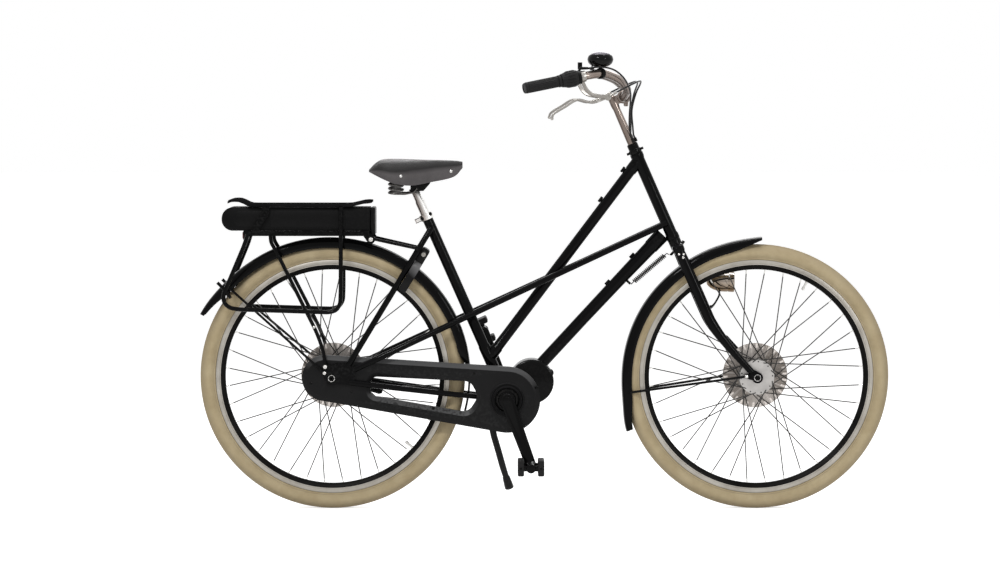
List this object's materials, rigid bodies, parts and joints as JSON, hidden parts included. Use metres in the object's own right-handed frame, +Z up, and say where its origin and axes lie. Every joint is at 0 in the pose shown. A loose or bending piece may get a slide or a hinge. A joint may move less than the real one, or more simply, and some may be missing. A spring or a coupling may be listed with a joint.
{
  "type": "electric bicycle",
  "caption": "Step-through electric bicycle with swept handlebar, enclosed chaincase, mudguards, mid motor and a battery under the rear rack.",
  "frame": {"origin": "on the ground at the centre of the bounding box's base, midway between the two wheel axles", "axes": "+X forward, +Y to the rider's left, +Z up; the rear wheel is at -X and the drive side is -Y"},
  "size_m": [1.867, 0.5974, 1.2355],
  "materials": {
    "black_rubber": "matt black rubber",
    "brushed_steel": "plain zinc-plated steel, dull",
    "chrome": "bright chrome",
    "cream_tyre_rubber": "cream rubber, matt, dusty",
    "gloss_black_paint": "gloss black paint",
    "polished_alloy": "polished",
    "red_reflector": "red clear plastic",
    "rim_alloy": "satin silver with a black inner band",
    "saddle_leather": "grey-brown leather, worn smooth",
    "satin_black_metal": "satin black coating",
    "satin_black_plastic": "satin black, faintly grained"
  },
  "bodies": {
    "frame": {"battery_dock": "satin_black_plastic", "chain": "brushed_steel", "chain_stay_left": "gloss_black_paint", "chain_stay_right": "gloss_black_paint", "chaincase": "satin_black_plastic", "down_tube": "gloss_black_paint", "head_tube": "gloss_black_paint", "lateral_tube_left": "gloss_black_paint", "lateral_tube_right": "gloss_black_paint", "motor_housing": "satin_black_metal", "rack_deck": "satin_black_plastic", "rack_frame": "gloss_black_paint", "rear_axle": "brushed_steel", "rear_light": "red_reflector", "rear_mudguard": "gloss_black_paint", "ring_lock": "satin_black_metal", "seat_clamp": "polished_alloy", "seat_stay_left": "gloss_black_paint", "seat_stay_right": "gloss_black_paint", "seat_tube": "gloss_black_paint", "steering_spring": "brushed_steel", "top_tube": "gloss_black_paint"},
    "steering": {"bell": "gloss_black_paint", "brake_cable_left": "black_rubber", "brake_cable_right": "black_rubber", "brake_perch_left": "polished_alloy", "brake_perch_right": "polished_alloy", "fork": "gloss_black_paint", "front_axle": "brushed_steel", "front_mudguard": "gloss_black_paint", "grip_left": "black_rubber", "grip_right": "black_rubber", "handlebar": "polished_alloy", "headlight": "chrome", "shift_cable": "black_rubber", "shifter_housing": "satin_black_plastic", "stem": "polished_alloy"},
    "front_wheel": {"front_brake_disc": "brushed_steel", "front_hub_spokes": "brushed_steel", "front_rim": "rim_alloy", "front_tyre": "cream_tyre_rubber"},
    "rear_wheel": {"rear_brake_disc": "brushed_steel", "rear_hub_spokes": "brushed_steel", "rear_rim": "rim_alloy", "rear_tyre": "cream_tyre_rubber"},
    "sprocket": {"rear_sprocket": "brushed_steel"},
    "crankset": {"crank_left": "satin_black_metal", "crank_right": "satin_black_metal"},
    "pedal_right": {"pedal_body_right": "black_rubber"},
    "pedal_left": {"pedal_body_left": "black_rubber"},
    "seat": {"saddle_frame": "brushed_steel", "saddle_top": "saddle_leather", "seatpost": "polished_alloy"},
    "battery": {"battery_pack": "satin_black_plastic"},
    "kickstand": {"kickstand_leg": "gloss_black_paint"},
    "lock_shackle": {"lock_bolt": "brushed_steel"},
    "twist": {"shifter_twist": "black_rubber"},
    "bell_lever": {"bell_thumb_lever": "satin_black_metal"},
    "lever_right": {"brake_lever_right": "polished_alloy"},
    "lever_left": {"brake_lever_left": "polished_alloy"}
  },
  "joints": [
    {"name": "steering_turn", "type": "hinge", "parent": "frame", "child": "steering", "pos_m": [0.36016, 0, 0.7082], "axis": [-0.4035, 0, 0.915], "range_deg": [-45, 45], "stiffness_Nm_per_rad": 2, "deforming": ["steering_spring"]},
    {"name": "front_wheel_spin", "type": "hinge", "parent": "steering", "child": "front_wheel", "pos_m": [0.5745, 0, 0.359], "axis": [0, 1, 0], "continuous": true},
    {"name": "rear_wheel_spin", "type": "hinge", "parent": "frame", "child": "rear_wheel", "pos_m": [-0.5745, 0, 0.359], "axis": [0, 1, 0], "continuous": true},
    {"name": "crank_turn", "type": "hinge", "parent": "frame", "child": "crankset", "pos_m": [-0.1013, 0, 0.3], "axis": [0, 1, 0], "continuous": true},
    {"name": "sprocket_turn", "type": "hinge", "parent": "frame", "child": "sprocket", "pos_m": [-0.5745, 0, 0.359], "axis": [0, 1, 0], "continuous": true},
    {"name": "pedal_right_turn", "type": "hinge", "parent": "crankset", "child": "pedal_right", "pos_m": [-0.03772, 0, 0.12627], "axis": [0, 1, 0], "continuous": true},
    {"name": "pedal_left_turn", "type": "hinge", "parent": "crankset", "child": "pedal_left", "pos_m": [-0.16488, 0, 0.47373], "axis": [0, 1, 0], "continuous": true},
    {"name": "seat_height", "type": "slide", "parent": "frame", "child": "seat", "axis": [-0.4051, 0, 0.9143], "range_m": [-0.05, 0.1]},
    {"name": "battery_slide", "type": "slide", "parent": "frame", "child": "battery", "axis": [-1, 0, 0], "range_m": [0, 0.4]},
    {"name": "kickstand_fold", "type": "hinge", "parent": "frame", "child": "kickstand", "pos_m": [-0.15, 0.042, 0.255], "axis": [0, 1, 0], "range_deg": [0, 100]},
    {"name": "lock_close", "type": "hinge", "parent": "frame", "child": "lock_shackle", "pos_m": [-0.36846, 0, 0.62242], "axis": [-0.8556, 0, 0.5176], "range_deg": [0, 108]},
    {"name": "shifter_turn", "type": "hinge", "parent": "steering", "child": "twist", "pos_m": [0.03882, -0.25847, 1.15804], "axis": [0.9419, 0.2763, 0.1911], "range_deg": [-55, 55]},
    {"name": "bell_lever_swing", "type": "hinge", "parent": "steering", "child": "bell_lever", "pos_m": [0.1222, -0.21, 1.1912], "axis": [0, 0, -1], "range_deg": [0, 25], "stiffness_Nm_per_rad": 0.05, "springref_deg": -22.92},
    {"name": "brake_lever_right_pull", "type": "hinge", "parent": "steering", "child": "lever_right", "pos_m": [0.164, -0.216, 1.115], "axis": [0, 1, 0], "range_deg": [0, 18], "stiffness_Nm_per_rad": 1, "springref_deg": -17.19},
    {"name": "brake_lever_left_pull", "type": "hinge", "parent": "steering", "child": "lever_left", "pos_m": [0.164, 0.216, 1.115], "axis": [0, 1, 0], "range_deg": [0, 18], "stiffness_Nm_per_rad": 1, "springref_deg": -17.19}
  ],
  "couplings": [
    {"joint": "sprocket_turn", "follows": "crank_turn", "ratio": 2}
  ]
}
